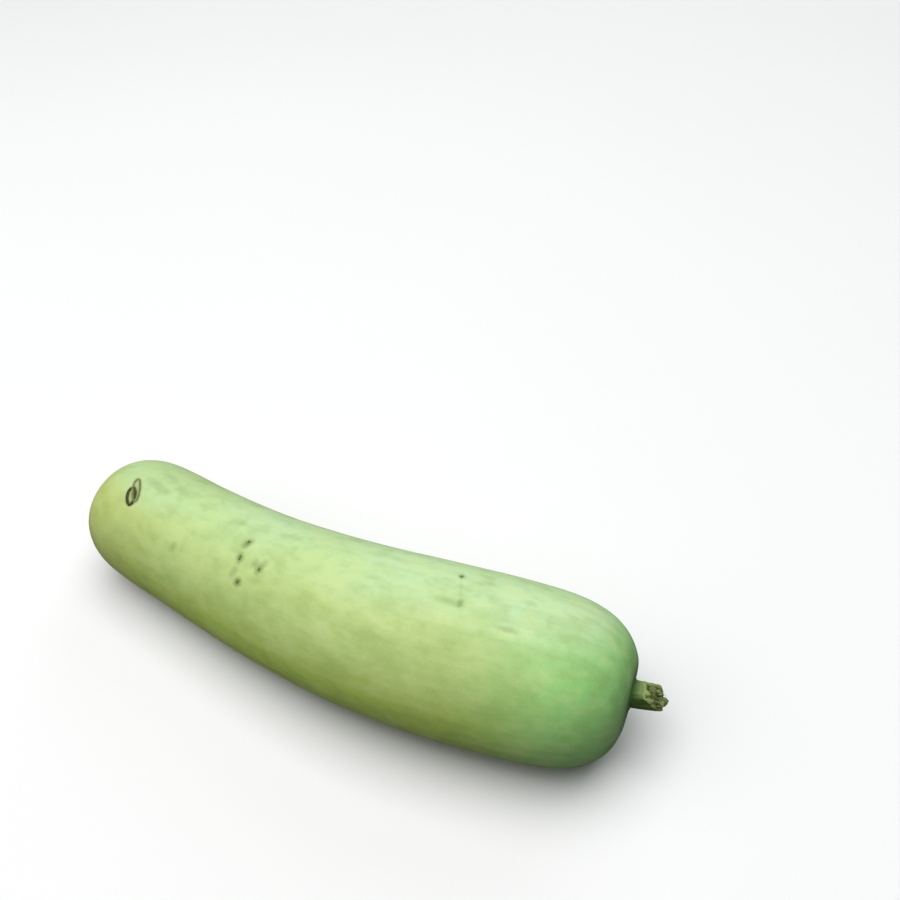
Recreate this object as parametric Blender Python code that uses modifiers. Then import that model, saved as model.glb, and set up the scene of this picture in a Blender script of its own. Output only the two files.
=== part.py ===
"""A bottle gourd as picked, lying on its side: one long pale green fruit and its cut stem.

Metres, +Z up. The fruit lies along X with its stem at +X, and the origin is the bottom centre of
the whole gourd's box. Both pieces are turned about +Z first, then laid down along the middle line
of the fruit, which bends a little in plan, and the underside is flattened where it rests.
"""
import math

import bmesh
import bpy
import numpy as np

# Driving dimensions of the fruit
BODY_LENGTH = 0.3358
# Radius at the blossom end, one third, two thirds and the stem end, before the ends are rounded
BODY_RADII = (0.0383, 0.0394, 0.0455, 0.0408)
# Each rounded end has a length, a fullness where it meets the body and a fullness at its tip
BLOSSOM_CAP = (0.0676, 4.29, 2.2)
STEM_CAP = (0.0539, 3.17, 3.17)
RESTING_FLAT = 0.0005

# Heading of the middle line in plan, and the stretch of the body over which it turns
BLOSSOM_HEADING = math.radians(-8.1)
STEM_HEADING = math.radians(10.8)
TURN_FROM = 0.22
TURN_TO = 0.92

# Broad uneven growth of the body: lobes that wind round it, and waves along one side
SWELL_HEIGHT = 0.0005
SWELL_LOBES = 3
SWELL_TURN = 4.0
WAVE_COUNT = 11.0
WAVE_START = 0.8
WAVE_SIDE = 2.2
# How far down the sides the swell has faded out, as the sine of the angle round the body
SWELL_FADE = 0.8

# Lean of the stem end across and upwards, and where along the body it starts
END_LEAN = (0.085, -0.025)
LEAN_FROM = 0.8

# Shallow hollow in the stem end and the socket that holds the stem's root
HOLLOW_DEPTH = 0.0015
HOLLOW_RADIUS = 0.0180
SOCKET_DEPTH = 0.0060
STEM_RISE = 0.0038
STEM_SIDE = 0.0014
SHIFT_RADIUS = 0.0300
SOCKET_RADIUS = 0.0079
JOINT_GAP = 0.0003
FACE_RING = 0.0095

# Healed scar near the blossom end: two overlapping rings standing out of the skin
SCAR_PLACE = 0.0387
SCAR_ANGLE = math.radians(109)
SCAR_TILT = math.radians(58)
SCAR_HEIGHT = 0.0005
SCAR_LINE = 0.0008
# Each ring is its middle along and across the scar, half its length, half its width and its lean across
SCAR_RINGS = ((0.0, 0.0, 0.0053, 0.0024, 0.06), (-0.0040, 0.0023, 0.0078, 0.0021, 0.14))
# Half length and half width of the skin divided finely for it, and the place of its middle
SCAR_REACH = (0.0150, 0.0085)
SCAR_MIDDLE = -0.0040
SCAR_CUTS = 4

# Cut stem
STEM_ROOT_RADIUS = SOCKET_RADIUS - JOINT_GAP
STEM_RADIUS = 0.0069
STEM_TIP_RADIUS = 0.0067
STEM_LENGTH = 0.0118
STEM_TURN = math.tan(math.radians(6))
STEM_LIFT = math.tan(math.radians(4))
FLARE_LENGTH = 0.0050
CUT_SLOPE = math.tan(math.radians(45))
CUT_FROM = 0.0015
STEM_RIDGES = 5
RIDGE_START = 0.6
RIDGE_DEPTH = 0.05
TIP_RIDGE_DEPTH = 0.11
# Share of the tip's radius and height of each ring of the cut end, from its pit to its outer edge
CUT_END = ((0.0, -0.0022), (0.25, -0.0019), (0.50, -0.0011), (0.72, 0.0), (0.86, 0.0), (0.96, -0.0006),
           (1.0, -0.0016))
# Torn fibres at the cut: how many stand up round the rim, where the first one is, and their share
FRAY_HEIGHT = 0.0007
FRAY_REACH = 0.0030
FRAY_WAVES = ((9, 0.0, 1.0), (4, 2.0, 0.6))

# Fineness of the meshes
AROUND_FRUIT = 60
AROUND_STEM = 40
CAP_RINGS = 14
BODY_RINGS = 16
STEM_RINGS = 7
FLARE_RINGS = 3
LINE_STATIONS = 2001
MERGE_DISTANCE = 0.00001
CREASE_ANGLE = math.radians(40)

SKIN_COLOUR = (0.43, 0.62, 0.21, 1.0)
STEM_COLOUR = (0.10, 0.16, 0.035, 1.0)


def smooth(x):
    """Ease from 0 to 1 as x goes from 0 to 1."""
    x = np.clip(x, 0.0, 1.0)
    return x * x * (3.0 - 2.0 * x)


def even_curve(values, u):
    """The cubic through four values spaced evenly over 0 to 1."""
    knots = [i / 3 for i in range(4)]
    total = 0.0
    for i, value in enumerate(values):
        weight = 1.0
        for j, knot in enumerate(knots):
            if j != i:
                weight = weight * (u - knot) / (knots[i] - knot)
        total = total + value * weight
    return total


def girth_radius(s):
    """Radius of the body at a length s from the blossom tip, without its rounded ends."""
    return even_curve(BODY_RADII, s / BODY_LENGTH)


def heading(s):
    """Direction of the middle line in plan."""
    part = smooth((s / BODY_LENGTH - TURN_FROM) / (TURN_TO - TURN_FROM))
    return BLOSSOM_HEADING + (STEM_HEADING - BLOSSOM_HEADING) * part


def middle_line(s):
    """Plan position of the middle line at each length in the array s, from the blossom tip."""
    stations = np.linspace(0.0, BODY_LENGTH, LINE_STATIONS)
    step = stations[1] - stations[0]
    turned = heading(stations + step / 2)[:-1]
    x = np.concatenate(([0.0], np.cumsum(np.cos(turned) * step)))
    y = np.concatenate(([0.0], np.cumsum(np.sin(turned) * step)))
    return np.interp(s, stations, x), np.interp(s, stations, y)


def cap_profile(cap):
    """Distance in from the tip and share of the radius at each ring of a rounded end, tip first."""
    length, shoulder, tip = cap
    angles = [math.pi / 2 * i / CAP_RINGS for i in range(CAP_RINGS + 1)]
    return [(length * (1.0 - math.cos(a) ** (2.0 / shoulder)), math.sin(a) ** (2.0 / tip)) for a in angles]


def fruit_profile():
    """Radius and length of each point, from the socket's floor over the shoulder to the blossom tip."""
    floor = BODY_LENGTH - HOLLOW_DEPTH - SOCKET_DEPTH
    points = [(0.0, floor), (SOCKET_RADIUS, floor)]
    face = [(SOCKET_RADIUS, BODY_LENGTH), (FACE_RING, BODY_LENGTH)]
    for inset, share in cap_profile(STEM_CAP)[1:]:
        s = BODY_LENGTH - inset
        face.append((girth_radius(s) * share, s))
    for radius, s in face:
        rise = smooth((radius - SOCKET_RADIUS) / (HOLLOW_RADIUS - SOCKET_RADIUS))
        points.append((radius, s - HOLLOW_DEPTH * (1.0 - rise)))
    first = BODY_LENGTH - STEM_CAP[0]
    last = BLOSSOM_CAP[0]
    for i in range(1, BODY_RINGS):
        s = first + (last - first) * i / BODY_RINGS
        points.append((girth_radius(s), s))
    for s, share in reversed(cap_profile(BLOSSOM_CAP)):
        points.append((girth_radius(s) * share, s))
    return points


def stem_profile():
    """Radius and height of each point, from the pit in the cut end down the side to the root."""
    root = -HOLLOW_DEPTH - SOCKET_DEPTH + JOINT_GAP
    points = [(STEM_TIP_RADIUS * share, STEM_LENGTH + height) for share, height in CUT_END]
    edge = points[-1][1]
    for i in range(1, STEM_RINGS + 1):
        part = i / STEM_RINGS
        z = edge + (FLARE_LENGTH - HOLLOW_DEPTH - edge) * part
        points.append((STEM_TIP_RADIUS + (STEM_RADIUS - STEM_TIP_RADIUS) * part, z))
    for i in range(1, FLARE_RINGS + 1):
        part = i / FLARE_RINGS
        z = FLARE_LENGTH * (1.0 - part) - HOLLOW_DEPTH
        points.append((STEM_RADIUS + (STEM_ROOT_RADIUS - STEM_RADIUS) * part ** 2, z))
    points.append((STEM_ROOT_RADIUS, root))
    points.append((0.0, root))
    return points


def turn(name, profile, steps):
    """Turn a profile of (radius, height) about Z and return it as a closed mesh object."""
    wire = bpy.data.meshes.new(name + "_profile")
    points = [(radius, 0.0, height) for radius, height in profile]
    wire.from_pydata(points, [(i, i + 1) for i in range(len(points) - 1)], [])
    guide = bpy.data.objects.new(name + "_profile", wire)
    bpy.context.scene.collection.objects.link(guide)
    screw = guide.modifiers.new("Turn", "SCREW")
    screw.axis = "Z"
    screw.angle = math.tau
    screw.steps = steps
    screw.render_steps = steps
    screw.use_merge_vertices = True
    screw.merge_threshold = MERGE_DISTANCE
    depsgraph = bpy.context.evaluated_depsgraph_get()
    mesh = bpy.data.meshes.new_from_object(guide.evaluated_get(depsgraph))
    mesh.name = name
    bpy.data.objects.remove(guide)
    bpy.data.meshes.remove(wire)
    model = bmesh.new()
    model.from_mesh(mesh)
    bmesh.ops.remove_doubles(model, verts=model.verts, dist=MERGE_DISTANCE)
    model.to_mesh(mesh)
    model.free()
    return bpy.data.objects.new(name, mesh)


def read_points(mesh):
    """Vertex positions of a mesh as an array."""
    points = np.empty(len(mesh.vertices) * 3)
    mesh.vertices.foreach_get("co", points)
    return points.reshape(-1, 3)


def write_points(mesh, points):
    """Give a mesh new vertex positions."""
    mesh.vertices.foreach_set("co", np.ascontiguousarray(points, dtype=np.float64).ravel())
    mesh.update()


def along_middle_line(across, up, s):
    """World points of places given across, up and along the laid-down fruit."""
    lean = smooth((s / BODY_LENGTH - LEAN_FROM) / (1.0 - LEAN_FROM))
    s = s + lean * (END_LEAN[0] * across + END_LEAN[1] * up)
    inside = np.clip(s, 0.0, BODY_LENGTH)
    beyond = s - inside
    x, y = middle_line(inside)
    turned = heading(inside)
    x = x + np.cos(turned) * beyond - np.sin(turned) * across
    y = y + np.sin(turned) * beyond + np.cos(turned) * across
    z = girth_radius(inside) - RESTING_FLAT + up
    return np.stack((x, y, z), axis=-1)


def scar_place(s, angle, radius):
    """Distances along and across the scar from its middle, for places on the skin."""
    lengthwise = s - SCAR_PLACE
    round_girth = (angle - SCAR_ANGLE) * radius
    along = lengthwise * math.cos(SCAR_TILT) + round_girth * math.sin(SCAR_TILT)
    across = lengthwise * math.sin(SCAR_TILT) - round_girth * math.cos(SCAR_TILT)
    return along, across


def scar_relief(along, across):
    """Height of the scar's corky rings above the skin."""
    height = np.zeros_like(along)
    for mid_along, mid_across, half_length, half_width, lean in SCAR_RINGS:
        lengthwise = (along - mid_along) / half_length
        sideways = (across - mid_across - lean * (along - mid_along)) / half_width
        reach = np.maximum(np.hypot(lengthwise, sideways), 0.001)
        steepness = np.hypot(lengthwise / half_length, sideways / half_width) / reach
        off = (reach - 1.0) / np.maximum(steepness, 1.0 / half_length)
        height = np.maximum(height, np.exp(-(off / SCAR_LINE) ** 2))
    return height * SCAR_HEIGHT


def skin_swell(s, angle):
    """Broad bulges and dips of the body, fading out at its ends and under it."""
    u = s / BODY_LENGTH
    lobes = np.cos(SWELL_LOBES * angle + SWELL_TURN * u)
    waves = np.sin(WAVE_COUNT * u + WAVE_START) * np.cos(angle - WAVE_SIDE)
    fade = np.sin(math.pi * np.clip(u, 0.0, 1.0)) * smooth((np.sin(angle) + SWELL_FADE) / SWELL_FADE)
    return SWELL_HEIGHT * (lobes + waves) * fade


def refine_scar(mesh):
    """Divide the faces round the scar finely enough to carry its relief."""
    model = bmesh.new()
    model.from_mesh(mesh)
    edges = []
    for edge in model.edges:
        middle = (edge.verts[0].co + edge.verts[1].co) / 2
        angle = math.atan2(middle.y, middle.x)
        along, across = scar_place(middle.z, angle, math.hypot(middle.x, middle.y))
        if math.hypot((along - SCAR_MIDDLE) / SCAR_REACH[0], across / SCAR_REACH[1]) < 1.0:
            edges.append(edge)
    bmesh.ops.subdivide_edges(model, edges=edges, cuts=SCAR_CUTS, use_grid_fill=True)
    model.to_mesh(mesh)
    model.free()


def make_fruit():
    """The fruit: turned, lightly swollen, scarred and hollowed, then laid along its middle line."""
    fruit = turn("fruit", fruit_profile(), AROUND_FRUIT)
    refine_scar(fruit.data)
    points = read_points(fruit.data)
    s = points[:, 2]
    radius = np.hypot(points[:, 0], points[:, 1])
    angle = np.arctan2(points[:, 1], points[:, 0])
    outside = radius > HOLLOW_RADIUS
    raised = scar_relief(*scar_place(s, angle, radius)) + skin_swell(s, angle)
    grown = radius + np.where(outside, raised, 0.0)
    near_stem = 1.0 - smooth((radius - SOCKET_RADIUS) / (SHIFT_RADIUS - SOCKET_RADIUS))
    near_stem = np.where(s > BODY_LENGTH / 2, near_stem, 0.0)
    across = grown * np.cos(angle) + STEM_SIDE * near_stem
    up = grown * np.sin(angle) + STEM_RISE * near_stem
    laid = along_middle_line(across, up, s)
    laid[:, 2] = np.maximum(laid[:, 2], 0.0)
    write_points(fruit.data, laid)
    return fruit


def make_stem():
    """The cut stem: ridged, cut off at a slant with a frayed rim, standing in the fruit's socket."""
    stem = turn("stem", stem_profile(), AROUND_STEM)
    points = read_points(stem.data)
    radius = np.hypot(points[:, 0], points[:, 1])
    angle = np.arctan2(points[:, 1], points[:, 0])
    height = points[:, 2]
    free = smooth((height + HOLLOW_DEPTH) / FLARE_LENGTH)
    to_tip = smooth(height / STEM_LENGTH)
    depth = (RIDGE_DEPTH + (TIP_RIDGE_DEPTH - RIDGE_DEPTH) * to_tip) * free
    ridged = radius * (1.0 + depth * np.cos(STEM_RIDGES * angle + RIDGE_START))
    at_cut = smooth((height - STEM_LENGTH) / FRAY_REACH + 1.0)
    at_rim = np.sin(math.pi * np.clip(radius / STEM_RADIUS, 0.0, 1.0))
    fray = sum(share * np.cos(count * angle + start) for count, start, share in FRAY_WAVES)
    frayed = height + FRAY_HEIGHT * at_cut * at_rim * fray
    across = ridged * np.cos(angle)
    up = ridged * np.sin(angle)
    slant = smooth((height - CUT_FROM) / (STEM_LENGTH - CUT_FROM))
    slanted = frayed - CUT_SLOPE * up * slant
    clear = np.maximum(slanted + HOLLOW_DEPTH, 0.0)
    bend = clear ** 2 / (clear + FLARE_LENGTH / 2)
    across = across + STEM_SIDE + STEM_TURN * bend
    up = up + STEM_RISE + STEM_LIFT * bend
    write_points(stem.data, along_middle_line(across, up, BODY_LENGTH + slanted))
    return stem


def plain_material(name, colour, roughness):
    """A Principled material with one colour."""
    material = bpy.data.materials.new(name)
    material.use_nodes = True
    shader = material.node_tree.nodes["Principled BSDF"]
    shader.inputs["Base Color"].default_value = colour
    shader.inputs["Roughness"].default_value = roughness
    shader.inputs["Metallic"].default_value = 0.0
    return material


def finish_piece(piece, collection, material):
    """Shade a piece smooth, give it its material and put it in the gourd's collection."""
    piece.data.shade_smooth()
    piece.data.set_sharp_from_angle(angle=CREASE_ANGLE)
    piece.data.materials.clear()
    piece.data.materials.append(material)
    collection.objects.link(piece)


def centre_over_origin(pieces):
    """Move the pieces together so that the origin is the bottom centre of their common box."""
    points = np.concatenate([read_points(piece.data) for piece in pieces])
    lowest = points.min(axis=0)
    highest = points.max(axis=0)
    middle = (lowest + highest) / 2
    for piece in pieces:
        piece.location = (-middle[0], -middle[1], -lowest[2])


def main():
    for old in list(bpy.data.objects):
        bpy.data.objects.remove(old)
    collection = bpy.data.collections.new("bottle_gourd")
    bpy.context.scene.collection.children.link(collection)
    fruit = make_fruit()
    finish_piece(fruit, collection, plain_material("skin", SKIN_COLOUR, 0.45))
    stem = make_stem()
    finish_piece(stem, collection, plain_material("stem", STEM_COLOUR, 0.7))
    centre_over_origin((fruit, stem))


main()
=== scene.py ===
"""Looks of a bottle gourd lying on its side: its waxy mottled skin, its marks and its cut stem."""

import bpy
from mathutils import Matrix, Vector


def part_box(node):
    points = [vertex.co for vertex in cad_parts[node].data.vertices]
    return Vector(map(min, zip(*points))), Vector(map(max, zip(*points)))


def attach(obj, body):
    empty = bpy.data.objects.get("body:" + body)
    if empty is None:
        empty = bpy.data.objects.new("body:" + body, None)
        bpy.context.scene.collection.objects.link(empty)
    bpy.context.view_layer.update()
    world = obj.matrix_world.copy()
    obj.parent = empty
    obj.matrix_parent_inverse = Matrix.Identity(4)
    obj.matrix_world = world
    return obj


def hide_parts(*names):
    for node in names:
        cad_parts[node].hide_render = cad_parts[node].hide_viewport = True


bl_info = {
    "name": "Bottle Gourd",
    "version": (1, 0, 0),
    "blender": (4, 5, 0),
    "location": "3D View > Sidebar > Gourd",
    "description": "Builds a pale green bottle gourd with its cut stem, skin marks and a plain stage",
    "category": "Add Mesh",
}

import math
from types import SimpleNamespace

import bpy
from bpy.props import FloatProperty, FloatVectorProperty, IntProperty, PointerProperty
from mathutils import Matrix, Vector

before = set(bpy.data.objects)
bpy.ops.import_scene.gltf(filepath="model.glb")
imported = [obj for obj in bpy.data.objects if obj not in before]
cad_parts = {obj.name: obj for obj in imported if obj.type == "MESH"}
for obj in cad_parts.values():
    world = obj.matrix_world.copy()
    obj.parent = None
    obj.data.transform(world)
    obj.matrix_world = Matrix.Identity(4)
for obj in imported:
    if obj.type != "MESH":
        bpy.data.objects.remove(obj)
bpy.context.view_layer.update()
BODY = "root"
# Most that the fruit's sides may differ from those of its frame
BOX_TOLERANCE = 0.002

# Attribute that holds a piece's place before it is bent: along the fruit, across it and upwards
UNBENT = "unbent"
# Kinds of the node trees' sockets that hold something other than one decimal number
SOCKET_KINDS = {
    "Geometry": "NodeSocketGeometry", "Material": "NodeSocketMaterial", "Seed": "NodeSocketInt",
    "Vector": "NodeSocketVector", "Position": "NodeSocketVector",
}
NUMBER_TYPES = {"FLOAT", "INT"}
NODE_COLUMN = 220
NODE_ROW = 190

# Fineness of the meshes
FRUIT_AROUND = 224
FRUIT_RINGS = 430
STEM_AROUND = 120
STEM_RINGS = 130
BUTTON_AROUND = 96
BUTTON_RINGS = 64
OUTLINE_POINTS = 4001
BUTTON_POINTS = 401
LINE_POINTS = 513
LIP_POINTS = 160
LIP_SIDES = 12
DOME_DIVISIONS = 4
# Side of the fruit, as an angle round it, where the faces are finest, and how much finer
FINE_SIDE = math.radians(110)
FINER = 0.35

# Broad uneven growth of the body: lobes that wind round it, and waves along one side
SWELL_LOBES = 3
SWELL_TURN = 4.0
WAVE_COUNT = 11.0
WAVE_START = 0.8
WAVE_SIDE = 2.2
SWELL_FADE = 0.8

# Relief of the skin: height, size and detail of its ribs, dents and peel, and how drawn out the ribs are
RIBS = (0.00025, 0.012, 3.0)
DENTS = (0.0007, 0.045, 1.0)
PEEL = (0.00006, 0.0035, 2.0)
RIB_STRETCH = 9.0
SCAR_HEIGHT = 0.0004
SCAR_LINE = 0.0007
FOLD_HEIGHT = 0.0003
# Height above the floor over which the relief comes in
RELIEF_FADE = 0.006
# How far round the stem the collar, its folds and the stem's shift to one side reach, in root radii
COLLAR_REACH = 1.35
FOLD_REACH = 2.6
SHIFT_REACH = 4.0
# Share of the hollow's radius inside which the body's bulges stop
HOLLOW_RIM = 0.8

# Ridges and slits of the stem
STEM_RIDGES = 5
RIDGE_START = 0.6
RIDGE_DEPTH = 0.05
TIP_RIDGE_DEPTH = 0.11
FURROWS = 17
FURROW_DEPTH = 0.022
FURROW_WANDER = 3.0
FURROW_SIZE = 0.006
ROUGH_DEPTH = 0.05
ROUGH_SIZE = 0.0025
GRAIN_STRETCH = 6.0
# Bend of the stem and the start of its slanted cut
STEM_TURN = math.tan(math.radians(6))
STEM_LIFT = math.tan(math.radians(4))
CUT_FROM = 0.0015
# Rounding of the stem's two ends: how far it reaches, then its fullness and bluntness
CUT_EDGE = 0.0016
CUT_ROUNDING = (2.0, 4.0)
ROOT_ROUNDING = (2.0, 3.0)
# Relief of the cut: its pit, its frayed rim as waves round it, its torn surface and its bundles of fibre
PIT_DEPTH = 0.0004
PIT_REACH = 0.72
FRAY_WAVES = ((9, 0.0, 1.0), (4, 2.0, 0.6))
FRAY_HEIGHT = 0.0005
FRAY_REACH = 0.0030
TEAR_HEIGHT = 0.0006
TEAR_SIZE = 0.0012
BUNDLE_SIZE = 0.0026
BUNDLE_STRETCH = 2.2
BUNDLE_UNEVEN = 0.8
BUNDLE_STEP = 0.34
BUNDLE_EDGE = (0.95, 0.7)
GAP_DEPTH = 0.0005
GAP_EDGE = (0.14, 0.02)

# Torn fibres: their number and shape, and the least and most of each random draw
FIBRES = 44
FIBRE_SHAPE = {"Vertices": 6, "Side Segments": 5, "Fill Segments": 1,
               "Radius Top": 0.00006, "Radius Bottom": 0.00012, "Depth": 0.0016}
FIBRE_ROOT = 0.0014
FIBRE_SHIFT = (-0.12, 0.12)
FIBRE_RING = (0.25, 0.92)
FIBRE_LEAN = (-0.4, 0.4)
FIBRE_SPIN = (0.0, math.tau)
FIBRE_GIRTH = (0.6, 1.5)
FIBRE_TALLNESS = (0.55, 1.15)

# Healed scar near the blossom end: place, angle round the fruit and tilt
SCAR_PLACE = 0.0387
SCAR_ANGLE = math.radians(109)
SCAR_TILT = math.radians(58)
# Each ring is its middle along and across the scar, its half length, half width and lean across,
# then its lip's radius, how dark it is, and how much of the tissue inside it shows
SCAR_RINGS = (
    (0.0, 0.0, 0.0053, 0.0024, 0.06, 0.00084, 0.90, 0.75),
    (-0.0040, 0.0023, 0.0078, 0.0021, 0.14, 0.00056, 0.62, 0.45),
)
LIP_SIZES = ("Mid Along", "Mid Across", "Half Length", "Half Width", "Lean", "Lip Radius")
LIP_DEFAULT = 0.001
# A lip's wobble, its thinnest part and the spread of its thickness, how proud it stands and how it is seated
LIP_WOBBLE = 0.30
LIP_WOBBLE_SIZE = 0.7
LIP_VARIETY = 400.0
LIP_THINNEST = 0.25
LIP_SPREAD = 1.6
LIP_CLUMP = 0.0030
LIP_PROUD = 0.36
LIP_SEAT = 0.7
# Crust of the corky marks
CORK_GRAIN = 0.0009
LIP_CRUST = 0.00036
SPECK_CRUST = 0.00022
SPECK_HEIGHT = 0.0004

# Corky specks: place along the fruit, degrees round it, half length along and half width round
SPECKS = (
    (0.1227, 97.5, 0.0007, 0.0009),
    (0.1240, 110.8, 0.0006, 0.0008),
    (0.1243, 113.0, 0.0006, 0.0007),
    (0.1382, 113.9, 0.0007, 0.0010),
    (0.1298, 128.8, 0.0010, 0.0009),
    (0.2402, 70.8, 0.0008, 0.0008),
)
# Stains in the skin: the same four numbers, then how far the stain leans along the fruit and its strength
STAINS = (
    (0.1229, 99.0, 0.0028, 0.0038, -0.2, 0.75),
    (0.1241, 111.8, 0.0026, 0.0036, 0.2, 0.70),
    (0.1382, 113.9, 0.0027, 0.0034, 0.0, 0.68),
    (0.1298, 128.8, 0.0027, 0.0027, 0.0, 0.85),
    (0.1248, 123.5, 0.0026, 0.0040, 0.0, 0.34),
    (0.1341, 111.3, 0.0022, 0.0030, 0.0, 0.34),
    (0.1395, 108.3, 0.0024, 0.0030, 0.0, 0.26),
    (0.1390, 122.2, 0.0044, 0.0027, 0.0, 0.18),
    (0.0824, 128.6, 0.0028, 0.0034, 0.0, 0.36),
    (0.2402, 70.8, 0.0019, 0.0024, 0.0, 0.72),
    (0.2427, 82.0, 0.0011, 0.0090, 0.28, 0.11),
    (0.2452, 92.9, 0.0020, 0.0027, 0.0, 0.50),
    (0.2400, 94.0, 0.0070, 0.0027, 0.0, 0.27),
    (0.0447, 87.6, 0.0065, 0.0034, 0.0, 0.26),
    (0.0540, 90.0, 0.0050, 0.0030, 0.0, 0.26),
    (0.0477, 72.0, 0.0055, 0.0028, 0.0, 0.20),
    (0.0620, 82.0, 0.0070, 0.0030, 0.0, 0.16),
    (0.1078, 84.4, 0.0060, 0.0032, 0.0, 0.22),
    (0.2708, 102.3, 0.0070, 0.0018, 0.1, 0.34),
    (0.2782, 78.8, 0.0040, 0.0026, 0.0, 0.20),
    (0.2545, 69.7, 0.0045, 0.0026, 0.0, 0.20),
)
# Edge of a stain: how ragged it is, the size of its rags, and where it fades out and is full
STAIN_RAGGED = 0.6
STAIN_RAG_SIZE = 0.0016
STAIN_EDGE = (1.4, 0.1)

# Dry button at the blossom tip, where the flower fell: its disc, raised rim, ragged edge, crust and cracks
BUTTON_RADIUS = 0.0036
BUTTON_THICKNESS = 0.0005
BUTTON_ROUNDING = 0.6
BUTTON_RIM = 0.0005
BUTTON_RIM_SPAN = (0.45, 0.8)
BUTTON_FRONT = (0.0, 0.3)
BUTTON_RAGGED = 0.34
BUTTON_RAG_SIZE = 0.0022
BUTTON_RAG_SPAN = (0.4, 1.0)
CRUST_HEIGHT = 0.0007
CRUST_SIZE = 0.0012
CRACKS = 7.0
CRACK_HEIGHT = 0.00012
CRACK_WANDER = 5.0
CRACK_SIZE = 0.003
CRACK_START = (0.1, 0.5)
CRACK_END = (1.0, 0.7)

# Blotches in the skin: their size, how drawn out along the fruit they are, and their contrast
SKIN_PATTERNS = {
    "broad": (0.034, 1.8, 3.0),
    "blotches": (0.012, 1.5, 3.2),
    "patches": (0.006, 1.5, 3.0),
    "streaks": (0.0075, 9.0, 3.2),
    "grain": (0.003, 1.3, 2.6),
    "fine": (0.0009, 1.0, 1.0),
}
# Dots in the skin: their size, how much of it they fill, their strength and colour
SKIN_FLECKS = {"dots": (0.0021, 0.32, 0.20, "bloom_and_highlight"), "pores": (0.0013, 0.26, 0.12, "shade")}
# Share of a dot's radius inside which it is full
FLECK_MIDDLE = 0.4
# Coats of colour on the skin, in the order that they are laid. Each is the pattern or place that it
# follows, where in that it starts and where it is full, its strength and its colour
END_COATS = (("along", 0.240, 0.322, 0.95, "stem_end"), ("along", 0.085, 0.0, 0.8, "blossom_end"))
BLOTCH_COATS = (
    ("blotches", 0.5, 1.0, 0.23, "shade"),
    ("blotches", 0.5, 0.0, 0.23, "pale"),
    ("patches", 0.5, 1.0, 0.12, "shade"),
    ("patches", 0.5, 0.0, 0.10, "pale"),
)
STREAK_COATS = (("streaks", 0.5, 1.0, 0.17, "shade"), ("streaks", 0.45, 0.0, 0.20, "pale"))
GRAIN_COATS = (("grain", 0.5, 1.0, 0.07, "shade"),)
# The last tip coat is painted shade: the stem end's face darkens to the rim's dark green
TIP_COATS = (("along", 0.09, 0.03, 0.20, "shade"), ("along", 0.324, 0.3365, 0.35, "rim"))
# Heights between which the yellow olive flank, partly the skin's tint and partly painted shade on the lower
# sides, comes in, as shares of the girth, and how uneven its edge is
FLANK_SHADE_SPAN = (0.75, 0.0)
FLANK_SHADE_UNEVEN = 0.16
# Whitish bloom on the upper side, partly the skin's waxy bloom and partly painted highlight: its middle as an
# angle round the fruit, how squarely a place faces that, how uneven its edge is, where it ends at the stem,
# and its least strength and what the broad blotches add
BLOOM_HIGHLIGHT_SIDE = math.radians(65)
BLOOM_HIGHLIGHT_SPAN = (0.50, 1.0)
BLOOM_HIGHLIGHT_UNEVEN = 0.12
BLOOM_HIGHLIGHT_STRETCH = (0.332, 0.312)
BLOOM_HIGHLIGHT_STRENGTH = (0.6, 0.4)
# Stretch of the fruit over which streaks come in
STREAK_STRETCH = (0.06, 0.24)
# Dark ring round the stem, partly the skin's own darker green and partly painted shade of the hollow: its
# radii, the stretch of the fruit that it is on, and its strength
STEM_RING_AND_SHADE_RADII = (0.024, 0.009)
STEM_RING_AND_SHADE_STRETCH = (0.30, 0.32)
STEM_RING_AND_SHADE_STRENGTH = 0.85
# Radius inside which the shading from top to underside fades out, so that it is even at the tips
TIP_RADIUS = 0.036
# Colours of the scar: tissue inside a ring, the pale band beside its line, and the line itself
TISSUE_EDGE = (1.0, 0.7)
BAND_PLACE = 2.4
BAND_WIDTH = 0.0010
BAND_STRENGTH = 0.35
LINE_SPREAD = 0.0006
LINE_STRENGTH = 0.8
# Roughness of the skin, what its blotches and streaks add, and the shares and depth of its fine relief
SKIN_ROUGHNESS = (0.42, 0.08, 0.05)
SKIN_RELIEF = (0.6, 0.3, 0.3)
SKIN_DEPTH = 0.00010

# Stem: grain and blotches of its paint, as the skin's, and its bands, measured down from the cut
STEM_GRAIN = (0.0011, 9.0, 1.8)
STEM_BLOTCHES = (0.0035, 2.0, 1.6)
DRIED_UNEVEN = 0.003
DRIED_BAND = (0.0045, 0.0005)
CUT_BAND = (0.0020, 0.0010)
STEM_DEPTH = 0.00025
# Coats on the stem, as on the skin: its grain, the paleness of its ridges, a painted highlight on its top
# and painted shade at its foot where it meets the fruit. Level is how far a place is above the stem's middle,
# in its radii
STEM_GRAIN_COATS = (("grain", 0.45, 0.9, 0.12, "fibre"),)
RIDGE_PALENESS = 0.06
STEM_COATS = (("level", 0.6, 0.95, 0.4, "fibre"), ("height", 0.004, 0.0, 0.75, "rim"))
# Coats on the cut: the levels between which one gets stronger, its strength before and what that adds
DRY_LEVELS = (0.2, -0.7)
DRY_STRENGTH = (0.3, 0.4)
BLOTCH_STRENGTH = (0.2, 0.5)
# The gaps' dark coat is partly painted shade, so it gets stronger lower down
GAP_LEVELS = (0.3, -0.4)
GAP_STRENGTH = (0.25, 0.35)
RIM_LEVELS = (-0.4, 0.5)
RIM_STRENGTH = (0.15, 0.7)
# Raised upper side of each bundle on the cut, paler as fibre and partly as painted highlight, how pale it is,
# and the share of the radius where the pale rim is
STEP_SPAN = (-0.0004, 0.0016)
STEP_PALENESS = 0.6
RIM_SPAN = (0.66, 0.85)
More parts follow.
